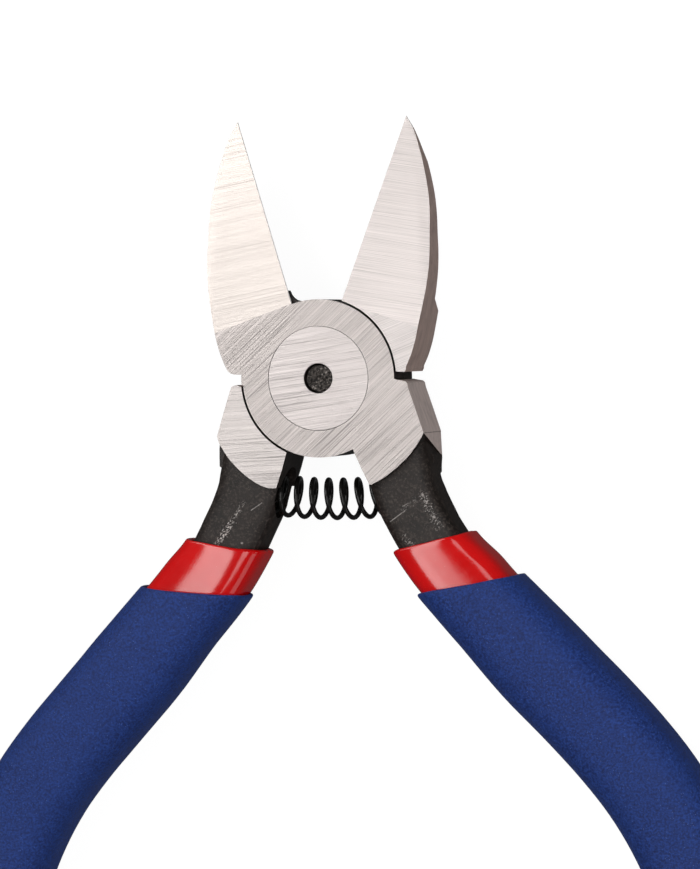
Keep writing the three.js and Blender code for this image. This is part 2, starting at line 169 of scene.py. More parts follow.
def tang_size(s):
    w = np.where(s < S18, lerp(4.6, 4.4, (s - S_TANG) / (S18 - S_TANG)), lerp(4.4, 3.7, (s - S18) / 45))
    return w + WIDER[HAND] * (1 - ease((s - 25) / 12)), lerp(TANG_T / 2, 3.3, (s - S_SLEEVE) / 30)


def section(power, count, phase=0.5):
    a = (np.arange(count) + phase) / count * 2 * np.pi
    c, s = np.cos(a), np.sin(a)
    k = (np.abs(c) ** power + np.abs(s) ** power) ** (-1 / power)
    return c * k, s * k


def rng_wave(x, seed, period, octaves=3):
    """Smooth repeatable 1-D wander between about -1 and 1."""
    r = np.random.default_rng(seed)
    y = np.zeros_like(np.asarray(x, float))
    for o in range(octaves):
        y = y + np.sin(2 * np.pi * np.asarray(x) / (period / 1.9**o) + r.uniform(0, 6.28)) / 1.7**o
    return y / 1.9


# ------------------------------------------------------------------ meshes


def new_obj(name, verts, faces):
    me = bpy.data.meshes.new(name)
    me.from_pydata([tuple(map(float, v)) for v in verts], [], [list(map(int, f)) for f in faces])
    me.update()
    o = bpy.data.objects.new(name, me)
    bpy.context.scene.collection.objects.link(o)
    return o


def fix_normals(o):
    bm = bmesh.new()
    bm.from_mesh(o.data)
    bmesh.ops.remove_doubles(bm, verts=bm.verts, dist=1e-5)
    bmesh.ops.recalc_face_normals(bm, faces=bm.faces)
    if bm.calc_volume(signed=True) < 0:
        bmesh.ops.reverse_faces(bm, faces=bm.faces)
    bm.to_mesh(o.data)
    bm.free()
    return o


def loft(name, rings, cap0=True, cap1=True, closed=False):
    """rings: list of equal-length (n,3) arrays joined into one skin."""
    n = len(rings[0])
    verts = np.concatenate(rings)
    faces = []
    m = len(rings)
    for i in range(m if closed else m - 1):
        a, b = i * n, ((i + 1) % m) * n
        for j in range(n):
            k = (j + 1) % n
            faces.append((a + j, a + k, b + k, b + j))
    if not closed and cap0:
        faces.append(tuple(range(n))[::-1])
    if not closed and cap1:
        faces.append(tuple((m - 1) * n + j for j in range(n)))
    return fix_normals(new_obj(name, verts, faces))


def prism(points, z0, z1, name="prism"):
    p = [(x, y) for x, y in points]
    n = len(p)
    verts = [(x, y, z0) for x, y in p] + [(x, y, z1) for x, y in p]
    faces = [tuple(range(n))[::-1], tuple(range(n, 2 * n))]
    faces += [(i, (i + 1) % n, n + (i + 1) % n, n + i) for i in range(n)]
    return fix_normals(new_obj(name, verts, faces))


def post(r, z0, z1, seg=160, x=0.0, y=0.0):
    return prism([(x + r * math.cos(2 * math.pi * i / seg), y + r * math.sin(2 * math.pi * i / seg)) for i in range(seg)], z0, z1)


def lathe(name, profile, seg):
    """profile: (r, z) points of a closed loop, or a line that starts and ends on the axis."""
    ring = len(profile)
    verts, faces = [], []
    for j in range(seg):
        a = 2 * math.pi * j / seg
        verts += [(r * math.cos(a), r * math.sin(a), z) for r, z in profile]
    for j in range(seg):
        a, b = j * ring, ((j + 1) % seg) * ring
        for i in range(ring):
            k = (i + 1) % ring
            if k == 0 and profile[0][0] == 0 and profile[-1][0] == 0:
                continue
            faces.append((a + i, b + i, b + k, a + k))
    o = new_obj(name, verts, faces)
    bm = bmesh.new()
    bm.from_mesh(o.data)
    bmesh.ops.remove_doubles(bm, verts=bm.verts, dist=1e-6)
    bmesh.ops.dissolve_degenerate(bm, edges=bm.edges, dist=1e-6)
    bmesh.ops.recalc_face_normals(bm, faces=bm.faces)
    if bm.calc_volume(signed=True) < 0:
        bmesh.ops.reverse_faces(bm, faces=bm.faces)
    bm.to_mesh(o.data)
    bm.free()
    return o


def boolean(a, b, op):
    m = a.modifiers.new("cut", "BOOLEAN")
    m.operation, m.object, m.solver = op, b, "MANIFOLD"
    bpy.context.view_layer.update()
    me = bpy.data.meshes.new_from_object(a.evaluated_get(bpy.context.evaluated_depsgraph_get()))
    a.modifiers.clear()
    old = a.data
    a.data = me
    bpy.data.meshes.remove(old)
    bpy.data.objects.remove(b)
    return a


def cut(a, b):
    return boolean(a, b, "DIFFERENCE")


def join_solid(a, b):
    return boolean(a, b, "UNION")


def moved(o, matrix):
    o.data.transform(matrix)
    o.data.update()
    return fix_normals(o)


def tidy(o, angle=0.35):
    bm = bmesh.new()
    bm.from_mesh(o.data)
    bmesh.ops.remove_doubles(bm, verts=bm.verts, dist=2e-3)
    bmesh.ops.dissolve_degenerate(bm, edges=bm.edges, dist=2e-3)
    bmesh.ops.dissolve_limit(bm, angle_limit=angle * DEG, verts=bm.verts, edges=bm.edges)
    bm.to_mesh(o.data)
    bm.free()
    return o


def bevel(o, width, keep, angle=24, segments=2):
    bm = bmesh.new()
    bm.from_mesh(o.data)
    edges = [e for e in bm.edges if len(e.link_faces) == 2 and e.calc_face_angle(0) > angle * DEG and keep(e)]
    bmesh.ops.bevel(bm, geom=edges, offset=width, offset_type="OFFSET", segments=segments, profile=0.5,
                    affect="EDGES", clamp_overlap=True, loop_slide=True, material=-1,
                    miter_outer="SHARP", miter_inner="SHARP")
    bmesh.ops.remove_doubles(bm, verts=bm.verts, dist=5e-4)
    bmesh.ops.dissolve_degenerate(bm, edges=bm.edges, dist=5e-4)
    bm.to_mesh(o.data)
    bm.free()
    return o


def finish_piece(o, name, half, body, nodes, mats, zone=None, smooth_angle=35):
    """Turn from the closed tool to the rest pose, go to metres, paint the zones and ride."""
    o.name = name
    o.data.name = name
    me = o.data
    me.materials.clear()
    for m in mats:
        me.materials.append(m)
    if zone is not None:
        for f in me.polygons:
            f.material_index = zone(f.center, f.normal)
    else:
        for f in me.polygons:
            f.material_index = 0
    turn = TURN[half] if half else 0.0
    me.transform(Matrix.Scale(MM, 4) @ Matrix.Rotation(turn, 4, "Z"))
    me.update()
    me.shade_smooth()
    me.set_sharp_from_angle(angle=smooth_angle * DEG)
    if body:
        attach(o, body)
    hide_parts(*nodes)
    return o


# ------------------------------------------------------------------ materials


class Mat:
    def __init__(self, name, **constant):
        self.m = bpy.data.materials.new(name)
        self.m.use_nodes = True
        self.t = self.m.node_tree
        self.t.nodes.clear()
        self.out = self.t.nodes.new("ShaderNodeOutputMaterial")
        self.b = self.t.nodes.new("ShaderNodeBsdfPrincipled")
        self.t.links.new(self.b.outputs[0], self.out.inputs[0])
        for k, v in constant.items():
            self.b.inputs[k.replace("_", " ")].default_value = v
        self.co = self.t.nodes.new("ShaderNodeTexCoord").outputs["Object"]

    def put(self, node, socket, value):
        s = node.inputs[socket]
        if isinstance(value, bpy.types.NodeSocket):
            self.t.links.new(value, s)
        elif value is not None:
            s.default_value = value

    def grain(self, size, angle=0.0, at=(0, 0, 0), tilt=(0, 0)):
        """Coordinates in feature sizes (mm), with x along the given direction in the plane."""
        n = self.t.nodes.new("ShaderNodeMapping")
        n.vector_type = "TEXTURE"
        n.inputs["Location"].default_value = [a * MM for a in at]
        n.inputs["Rotation"].default_value = (tilt[0] * DEG, tilt[1] * DEG, angle * DEG)
        n.inputs["Scale"].default_value = [s * MM for s in (size if hasattr(size, "__len__") else (size,) * 3)]
        self.t.links.new(self.co, n.inputs["Vector"])
        return n.outputs[0]

    def noise(self, vec, detail=2.0, rough=0.5, lacun=2.0, distort=0.0):
        n = self.t.nodes.new("ShaderNodeTexNoise")
        n.inputs["Scale"].default_value = 1.0
        n.inputs["Detail"].default_value = detail
        n.inputs["Roughness"].default_value = rough
        n.inputs["Lacunarity"].default_value = lacun
        n.inputs["Distortion"].default_value = distort
        self.t.links.new(vec, n.inputs["Vector"])
        return n.outputs["Fac"]

    def cells(self, vec, feature="F1", rand=1.0, out="Distance"):
        n = self.t.nodes.new("ShaderNodeTexVoronoi")
        n.feature = feature
        n.inputs["Scale"].default_value = 1.0
        n.inputs["Randomness"].default_value = rand
        self.t.links.new(vec, n.inputs["Vector"])
        return n.outputs[out]

    def span(self, v, a, b, c=0.0, d=1.0, smooth=False):
        n = self.t.nodes.new("ShaderNodeMapRange")
        n.clamp = True
        if smooth:
            n.interpolation_type = "SMOOTHSTEP"
        self.put(n, 0, v)
        for i, x in enumerate((a, b, c, d)):
            n.inputs[i + 1].default_value = x
        return n.outputs[0]

    def math(self, op, a, b=None, c=None):
        n = self.t.nodes.new("ShaderNodeMath")
        n.operation = op
        for i, v in enumerate((a, b, c)):
            self.put(n, i, v)
        return n.outputs[0]

    def mul(self, a, b):
        return self.math("MULTIPLY", a, b)

    def add(self, a, b):
        return self.math("ADD", a, b)

    def mix(self, f, a, b, kind="MIX"):
        n = self.t.nodes.new("ShaderNodeMix")
        n.data_type, n.blend_type = "RGBA", kind
        self.put(n, 0, f)
        self.put(n, 6, a if isinstance(a, bpy.types.NodeSocket) else (*a, 1))
        self.put(n, 7, b if isinstance(b, bpy.types.NodeSocket) else (*b, 1))
        return n.outputs[2]

    def dot(self, vec, d):
        n = self.t.nodes.new("ShaderNodeVectorMath")
        n.operation = "DOT_PRODUCT"
        self.put(n, 0, vec)
        n.inputs[1].default_value = d
        return n.outputs["Value"]

    def near(self, a, b, radius):
        """1 on the segment a-b (mm, in the part's plane) falling to 0 at radius."""
        a, b = Vector(a), Vector(b)
        d = b - a
        sub = self.t.nodes.new("ShaderNodeVectorMath")
        sub.operation = "SUBTRACT"
        flat = self.t.nodes.new("ShaderNodeVectorMath")
        flat.operation = "MULTIPLY"
        self.put(flat, 0, self.co)
        flat.inputs[1].default_value = (1000, 1000, 0)
        self.put(sub, 0, flat.outputs[0])
        sub.inputs[1].default_value = (a.x, a.y, 0)
        L = max(d.length, 1e-3)
        u = (d.x / L, d.y / L, 0)
        along = self.dot(sub.outputs[0], u)
        side = self.dot(sub.outputs[0], (-u[1], u[0], 0))
        over = self.math("SUBTRACT", along, self.math("MINIMUM", self.math("MAXIMUM", along, 0.0), L))
        dist = self.math("SQRT", self.add(self.mul(over, over), self.mul(side, side)))
        return self.span(dist, 0.0, radius, 1.0, 0.0, True)

    def bump(self, height, strength, distance, under=None):
        n = self.t.nodes.new("ShaderNodeBump")
        n.inputs["Strength"].default_value = strength
        n.inputs["Distance"].default_value = distance * MM
        self.put(n, "Height", height)
        if under is not None:
            self.t.links.new(under, n.inputs["Normal"])
        return n.outputs[0]

    def done(self, color=None, rough=None, normal=None, metal=None):
        for k, v in (("Base Color", color), ("Roughness", rough), ("Normal", normal), ("Metallic", metal)):
            if v is not None:
                self.put(self.b, k, v)
        return self.m


def scaled(c, k):
    return tuple(min(1.0, x * k) for x in c)


def ground_steel(name, angle, mean, fine=0.10, coarse=0.05, dark=0.35, light=0.3, length=26,
                 rough=(0.32, 0.42), at=(0, 0, 0), bump=0.2, metal=0.9):
    """Steel off a grinding wheel: long straight parallel lines, fine and coarse, with some deeper scratches."""
    m = Mat(name, Metallic=metal)
    x, y = at
    a = m.span(m.noise(m.grain((length, 0.072, 60), angle, (x, y, 0)), 1.0, 0.5), 0.36, 0.64)
    b = m.span(m.noise(m.grain((length * 1.3, 0.19, 60), angle + 0.7, (x + 3, y, 0)), 1.0, 0.5), 0.32, 0.68)
    e = m.span(m.noise(m.grain((length * 0.5, 0.9, 60), angle - 0.4, (x, y + 9, 0)), 1.0, 0.5), 0.3, 0.7)
    c = m.noise(m.grain((length * 0.8, 0.095, 60), angle - 0.6, (x + 3, y + 5, 0)), 0.5, 0.5)
    c2 = m.noise(m.grain((length * 0.55, 0.085, 60), angle + 2.5, (x + 7, y + 1, 0)), 0.5, 0.5)
    color = m.mix(a, scaled(mean, 1 - fine), scaled(mean, 1 + fine))
    color = m.mix(1.0, color, m.mix(b, (1 - coarse,) * 3, (1 + coarse,) * 3), "MULTIPLY")
    color = m.mix(1.0, color, m.mix(e, (1 - 0.6 * coarse,) * 3, (1 + 0.6 * coarse,) * 3), "MULTIPLY")
    deep = m.math("MAXIMUM", m.span(c, 0.61, 0.70), m.mul(m.span(c2, 0.66, 0.74), 0.7))
    color = m.mix(m.mul(deep, dark), color, scaled(mean, 0.40))
    shine = m.math("MAXIMUM", m.span(c, 0.37, 0.28), m.mul(m.span(c2, 0.32, 0.25), 0.7))
    color = m.mix(m.mul(shine, light), color, scaled(mean, 1.45))
    r = m.add(m.span(a, 0, 1, rough[0], rough[1]), m.mul(deep, 0.10))
    h = m.math("SUBTRACT", m.add(m.mul(a, 0.4), m.mul(b, 0.6)), m.mul(deep, 0.9))
    return m.done(color, r, m.bump(h, bump, 0.02))


def side_steel(name, half, mean, stain=0.4):
    """Brown-grey side walls, drawn along the jaw, with faint stains. The dark brown-grey is partly the walls' own tint
    and partly painted reflection, standing for the dark surroundings the walls would mirror.
    """
    ang = 90 + math.degrees(TURN[half])
    m = Mat(name, Metallic=0.12)
    a = m.span(m.noise(m.grain((8, 0.45, 0.7), ang), 2, 0.55), 0.3, 0.7)
    b = m.span(m.noise(m.grain((3.0, 0.13, 0.17), ang), 2, 0.5), 0.3, 0.7)
    d = m.noise(m.grain(3.0), 3, 0.6)
    lines = m.add(m.mul(a, 0.55), m.mul(b, 0.45))
    color = m.mix(lines, scaled(mean, 0.78), scaled(mean, 1.22))
    color = m.mix(m.mul(m.span(d, 0.52, 0.74), stain), color, scaled(mean, 0.5))
    r = m.span(d, 0.3, 0.7, 0.42, 0.58)
    return m.done(color, r, m.bump(lines, 0.3, 0.03))


def oxide(name, scuffs=(), scratches=(), speck=1.0):
    """Black forged surface: mottled, slightly rough, rubbed to bare metal in places."""
    m = Mat(name, Metallic=0.2)
    m.b.inputs["Specular IOR Level"].default_value = 0.5
    a = m.noise(m.grain(1.6), 4, 0.6)
    b = m.noise(m.grain(0.36, at=(2, 7, 1)), 4, 0.65)
    c = m.noise(m.grain(4.5, at=(9, 1, 4)), 2, 0.5)
    color = m.mix(m.span(a, 0.32, 0.7), (0.0080, 0.0055, 0.0045), (0.0220, 0.0158, 0.0132))
    color = m.mix(m.mul(m.span(c, 0.42, 0.72), 0.5), color, (0.0165, 0.0092, 0.0070))
    color = m.mix(m.mul(m.span(b, 0.50, 0.68), 0.80), color, (0.082, 0.065, 0.056))
    color = m.mix(m.mul(m.span(b, 0.46, 0.32), 0.5), color, (0.012, 0.010, 0.009))
    # loose specks of bare metal, thicker where the bar has been rubbed
    fine = m.noise(m.grain(0.20, at=(4, 4, 4)), 3, 0.75)
    patch = m.span(m.noise(m.grain(2.6, at=(1, 3, 8)), 2, 0.5), 0.46, 0.66)
    wear = m.mul(m.mul(m.span(fine, 0.66, 0.76), patch), 0.8 * speck)
    pick = m.noise(m.grain((0.36, 0.22, 0.3), 40, (3, 8, 2)), 4, 0.75)
    for p, q, rad, amount in scuffs:
        near = m.near(p, q, rad)
        lim = m.span(near, 0, 1, 0.66, 0.50)
        hit = m.span(m.math("SUBTRACT", pick, lim), 0.0, 0.07)
        wear = m.math("MAXIMUM", wear, m.mul(hit, m.mul(m.span(near, 0, 0.25), amount)))
    for p, q, rad, amount in scratches:
        broken = m.span(pick, 0.36, 0.52, 0.25, 1.0)
        wear = m.math("MAXIMUM", wear, m.mul(m.mul(m.near(p, q, rad), broken), amount))
    color = m.mix(wear, color, (0.62, 0.57, 0.54))
    r = m.math("SUBTRACT", m.span(b, 0.25, 0.75, 0.40, 0.60), m.mul(wear, 0.12))
    metal = m.add(0.2, m.mul(wear, 0.5))
    h = m.add(m.mul(a, 0.7), m.add(m.mul(b, 0.45), m.mul(wear, -0.4)))
    return m.done(color, r, m.bump(h, 0.6, 0.10), metal)


def red_plastic(name):
    m = Mat(name, Metallic=0.0)
    m.b.inputs["Specular IOR Level"].default_value = 0.8
    a = m.noise(m.grain(7), 2, 0.5)
    b = m.noise(m.grain(0.9, at=(5, 2, 1)), 3, 0.6)
    dust = m.noise(m.grain(0.2, at=(1, 9, 3)), 2, 0.6)
    color = m.mix(m.span(a, 0.3, 0.7), (0.60, 0.0022, 0.0026), (0.72, 0.0045, 0.005))
    color = m.mix(m.mul(m.span(dust, 0.71, 0.78), 0.25), color, (0.8, 0.25, 0.24))
    r = m.span(b, 0.3, 0.7, 0.10, 0.15)
    return m.done(color, r, m.bump(m.add(m.mul(a, 0.12), m.mul(b, 0.05)), 0.10, 0.25))


def blue_rubber(name):
    m = Mat(name, Metallic=0.0)
    m.b.inputs["Sheen Weight"].default_value = 0.10
    m.b.inputs["Sheen Roughness"].default_value = 0.5
    m.b.inputs["Sheen Tint"].default_value = (0.45, 0.55, 1.0, 1)
    m.b.inputs["Specular IOR Level"].default_value = 0.3
    a = m.noise(m.grain(0.30), 2, 0.6)
    b = m.noise(m.grain(1.4, at=(3, 3, 9)), 3, 0.6)
    c = m.noise(m.grain(11, at=(3, 1, 2)), 2, 0.5)
    s = m.cells(m.grain(0.40, at=(7, 5, 2)))
    color = m.mix(m.span(a, 0.34, 0.66), (0.0028, 0.0122, 0.080), (0.0180, 0.0555, 0.270))
    color = m.mix(m.mul(m.span(b, 0.35, 0.7), 0.35), color, (0.0085, 0.024, 0.128))
    color = m.mix(m.mul(m.span(c, 0.35, 0.7), 0.22), color, (0.0175, 0.050, 0.225))
    # lighter, less rough specks over the frosted grain: painted glints
    painted_glint = m.mul(m.span(s, 0.17, 0.05), m.span(m.noise(m.grain(0.9, at=(2, 6, 5)), 1, 0.5), 0.46, 0.6))
    color = m.mix(m.mul(painted_glint, 0.6), color, (0.16, 0.26, 0.66))
    r = m.math("SUBTRACT", m.span(a, 0.3, 0.7, 0.56, 0.72), m.mul(painted_glint, 0.2))
    return m.done(color, r, m.bump(m.add(a, m.mul(b, 0.4)), 0.6, 0.12))


def spring_black(name):
    m = Mat(name, Metallic=0.35)
    m.b.inputs["Specular IOR Level"].default_value = 0.6
    a = m.noise(m.grain(0.8), 2, 0.5)
    b = m.noise(m.grain(3, at=(4, 1, 1)), 2, 0.5)
    color = m.mix(m.span(a, 0.35, 0.7), (0.0055, 0.0050, 0.0048), (0.016, 0.015, 0.014))
    color = m.mix(m.mul(m.span(b, 0.55, 0.75), 0.4), color, (0.026, 0.024, 0.023))
    return m.done(color, m.span(a, 0.3, 0.7, 0.12, 0.22), m.bump(a, 0.15, 0.02))


def pit_black(name):
    m = Mat(name, Metallic=0.4)
    a = m.noise(m.grain(0.36), 4, 0.65)
    b = m.noise(m.grain(0.9, at=(6, 2, 1)), 2, 0.5)
    color = m.mix(m.span(a, 0.40, 0.62), (0.009, 0.0078, 0.007), (0.135, 0.115, 0.102))
    color = m.mix(m.mul(m.span(a, 0.56, 0.68), m.span(b, 0.42, 0.58)), color, (0.62, 0.56, 0.52))
    return m.done(color, m.span(b, 0.3, 0.7, 0.34, 0.52), m.bump(a, 1.0, 0.2))


# warm, slightly pink ground steel; each ground face has its own direction. The brightness of each face is partly its
# finish and partly painted light and shade, set to how much light that face catches
steel_head = ground_steel("steel_head_ground", 43, (0.475, 0.435, 0.421), 0.16, 0.07, 0.55, 0.45, 22, at=(0, 0), bump=0.4)
steel_left_blade = ground_steel("steel_left_blade_ground", 12, (0.612, 0.560, 0.528), 0.040, 0.015, 0.05, 0.10, 34, at=(3, 1), bump=0.04)
steel_right_blade = ground_steel("steel_right_blade_ground", -9, (0.643, 0.592, 0.577), 0.09, 0.05, 0.30, 0.35, 32, at=(7, 2), bump=0.2)
steel_right_flat = ground_steel("steel_right_flat_ground", 22, (0.548, 0.509, 0.498), 0.14, 0.07, 0.45, 0.45, 28, at=(1, 8), bump=0.25)
steel_left_shoulder = ground_steel("steel_left_shoulder_ground", 4, (0.512, 0.475, 0.462), 0.15, 0.07, 0.48, 0.45, 28, at=(5, 8), bump=0.25)
steel_disc = ground_steel("steel_disc_ground", 9, (0.543, 0.500, 0.490), 0.10, 0.045, 0.32, 0.42, 26, at=(2, 2), bump=0.3)
steel_back = ground_steel("steel_back_ground", 62, (0.58, 0.53, 0.515), 0.13, 0.08, 0.4, 0.35, 28, at=(9, 3), bump=0.25)
steel_hollow = ground_steel("steel_hollow_ground", 80, (0.52, 0.475, 0.46), 0.12, 0.08, 0.4, 0.3, 20, (0.34, 0.48), (4, 3), 0.25)
# side wall browns: partly the steel's own tint, partly painted reflection of dark surroundings
side_front = side_steel("steel_side_front", "front", (0.62, 0.515, 0.48))
# the wall under the cutting edge is painted near-white and hardly metallic: a painted highlight in place of the dark
# the steel would mirror there
edge_painted_highlight = side_steel("cutting_edge_painted_highlight", "front", (0.95, 0.91, 0.88), 0.05)
side_back = side_steel("steel_side_back", "back", (0.45, 0.338, 0.30))
black_front = oxide("black_oxide_front",
                    scuffs=[((14.4, -15.7), (16.5, -19.8), 1.2, 0.55), ((12.0, -21.6), (12.8, -22.4), 1.1, 0.5),
                            ((11.6, -17.6), (13.4, -16.4), 0.9, 0.25)],
                    scratches=[((9.8, -19.3), (11.9, -17.8), 0.10, 0.65), ((11.6, -17.2), (12.4, -16.75), 0.08, 0.45)])
black_back = oxide("black_oxide_back",
                   scuffs=[((-11.1, -17.0), (-12.7, -19.7), 0.75, 0.8), ((-12.7, -19.7), (-14.7, -22.7), 1.1, 1.0),
                           ((-12.9, -23.2), (-11.9, -23.5), 0.5, 1.0)],
                   scratches=[((-9.9, -18.0), (-8.4, -17.0), 0.09, 0.7), ((-12.7, -23.5), (-12.3, -23.55), 0.35, 0.9),
                              ((-11.3, -22.5), (-11.2, -22.5), 0.2, 0.6)])
black_lap = oxide("black_oxide_lap", speck=0.3)
red = red_plastic("red_sleeve_gloss")
blue = blue_rubber("blue_grip_frosted")
wire_black = spring_black("spring_black_wire")
pit = pit_black("pin_rough_end")

# ------------------------------------------------------------------ levers
JAW_OUTER = [
    (-EDGE_X - 0.1, TIP_Y - 0.1), (-1.5, 35.95), (-2.45, 34.85), (-3.3, 33.7), (-4.55, 31.9), (-5.8, 29.9), (-6.95, 27.8),
    (-7.95, 25.5), (-8.75, 23.3), (-9.6, 21.0), (-10.3, 18.7), (-10.85, 16.2), (-11.2, 13.9), (-11.55, 11.2),
    (-11.78, 9.0), (-11.8, 6.9), (-11.62, 5.3)]


HEEL = {"front": [(-11.44, 4.82), (-10.93, 4.5), (-10.14, 4.22)],
        "back": [(-11.42, 4.95), (-11.35, 4.52), (-10.85, 4.36), (-10.36, 4.24)]}


def jaw_outline(k):
    return [(-EDGE_X, TIP_Y)] + [(x * k, y) for x, y in smooth(JAW_OUTER, 80)] + HEEL[HAND] + [(-6.5, 3.9), (-3.5, 6.5), (-EDGE_X, 9.0)]


def shoulder_outline():
    if HAND == "front":
        top = [(6.0, -3.6), (10.1, -3.72), (10.36, -3.95), (10.87, -4.25), (11.38, -4.53), (11.56, -4.85)]
        curve = [(10.9, -12.4), (9.4, -13.5), (7.8, -14.4), (4.75, -15.55), (2.1, -16.0)]
        end = [(1.84, -15.86), (1.55, -13.5), (1.32, -10.9)]
    else:
        top = [(6.0, -4.35), (10.89, -4.4), (11.43, -4.8)]
        curve = [(10.85, -12.7), (8.64, -14.41), (6.08, -15.66), (3.87, -16.28), (2.27, -16.32), (1.25, -16.0)]
        end = [(1.22, -13.3), (1.3, -10.9)]
    return top + [(11.47, -5.4), (11.45, -8.5), (11.4, -11.9)] + smooth(curve, 30) + end + [(1.6, -7.0)]


def wedge():
    """The ground side wall runs on down to the bar at the back."""
    v = [(9, -11.5, 0), (9, -11.5, 8.8), (11.4, -11.8, 0), (11.4, -11.8, 8.8), (10.4, -15.1, 0), (9, -15.1, 0)]
    f = [(0, 1, 3, 2), (2, 3, 4), (0, 2, 4, 5), (0, 5, 1), (1, 5, 4, 3)]
    return fix_normals(new_obj("wedge", v, f))


def flank():
    """Beside the back lever's plate the black bar swells out a little, with a rounded top edge."""
    if HAND == "front":
        pts = [(9, -13.5), (10.2, -14.2)] + smooth([(10.45, -14.7), (10.46, -15.2), (10.2, -15.8), (9.95, -16.4), (9.7, -17.1)], 12) + [(9, -17.6)]
        return prism(pts, 0.3, 4.6)
    pts = [(9, -11.5), (11.28, -11.9)] + smooth([(11.25, -12.3), (11.22, -13.2), (10.84, -14.5), (10.38, -15.9)], 12) + [(9, -16.4)]
    return prism(pts, 0.3, 6.98)


def jaw(k):
    solid = prism(jaw_outline(k), 0, HEAD_T)
    over = prism([(-40, -40), (40, -40), (40, 40), (-40, 40)], 0, 30)
    over = moved(over, Matrix.Translation((0, SLOPE_Y, HEAD_T)) @ Matrix.Rotation(-SLOPE, 4, "X") @ Matrix.Translation((0, 40, 0)))
    solid = cut(solid, over)
    step = Matrix.Translation((-11.2, 13.1, 0)) @ Matrix.Rotation(-21 * DEG, 4, "Z")

    def beyond_step(lo, hi):
        # region beyond the sloping step: y' > f(z), where f rises from -0.6 to 1.6
        pts = [(-0.6, -1.0), (1.6, HOLLOW_Z), (1.6, 10.0), (50, 10.0), (50, -2.0), (-0.6, -2.0)]
        n = len(pts)
        v = [(x, y, z) for x in (-12, 34) for y, z in pts]
        f = [tuple(range(n))[::-1], tuple(range(n, 2 * n))] + [(i, (i + 1) % n, n + (i + 1) % n, n + i) for i in range(n)]
        return moved(fix_normals(new_obj("step", v, f)), step)

    floor = prism([(-40, -10), (40, -10), (40, 60), (-40, 60)], -20, HOLLOW_Z)
    solid = cut(solid, boolean(beyond_step(0, 0), floor, "INTERSECT"))
    sec = [(1.5, -EDGE_LAND)]
    for i in range(25):
        x = 7.2 * i / 24
        sec.append((-x, -(EDGE_LAND + HOLLOW_K * x * x)))
    sec += [(-16, -(EDGE_LAND + HOLLOW_K * 7.2 * 7.2)), (-16, -14), (1.5, -14)]
    n = len(sec)
    c, s = math.cos(SLOPE), math.sin(SLOPE)
    verts = []
    for d in (-1.0, 40.0):
        for x, h in sec:
            verts.append((x, SLOPE_Y + h * s + d * c, HEAD_T + h * c - d * s))
    f = [tuple(range(n))[::-1], tuple(range(n, 2 * n))] + [(i, (i + 1) % n, n + (i + 1) % n, n + i) for i in range(n)]
    hollow = fix_normals(new_obj("hollow", verts, f))
    upper = prism([(-40, -20), (40, -20), (40, 60), (-40, 60)], HOLLOW_Z - 0.0005, 30)
    hollow = boolean(boolean(hollow, beyond_step(0, 0), "INTERSECT"), upper, "INTERSECT")
    return cut(solid, hollow)


def tang():
    u, v = section(5, 72)
    s = np.concatenate([np.linspace(S_TANG, S_SLEEVE + 6, 34), np.linspace(S_SLEEVE + 6, S_TANG_END, 26)[1:]])
    rings = []
    for i, si in enumerate(s):
        w, t = tang_size(si)
        # forging marks: the bar is never quite straight or flat
        lump = 0.035 * rng_wave(si + 2.3 * np.arctan2(v, u), 5, 7.0)
        p, n, _ = line_frame(si)
        ww, tt = w + lump, t + 0.6 * lump - 0.02
        rings.append(np.stack([p[0] + n[0] * u * ww, p[1] + n[1] * u * ww, HANDLE_Z + v * tt], 1))
    return loft("tang", rings)


def pocket(turn, mouth_x):
    side = math.copysign(1, mouth_x)
    x = mouth_x + side * (POCKET_DEPTH - 6)
    pts = []
    for i in range(48):
        a = 2 * math.pi * i / 48
        y = POCKET_R * math.cos(a)
        pts.append((POCKET_Y + y + (POCKET_ROOM if y > 0 else 0), SPRING_Z + POCKET_R * math.sin(a)))
    n = len(pts)
    v = [(xx, y, z) for xx in (x - 6, x + 6) for y, z in pts]
    f = [tuple(range(n))[::-1], tuple(range(n, 2 * n))] + [(i, (i + 1) % n, n + (i + 1) % n, n + i) for i in range(n)]
    o = fix_normals(new_obj("pocket", v, f))
    return moved(o, Matrix.Rotation(-turn * DEG, 4, "Z"))


def mirrored(o):
    return moved(o, Matrix.Scale(-1, 4, (1, 0, 0)))


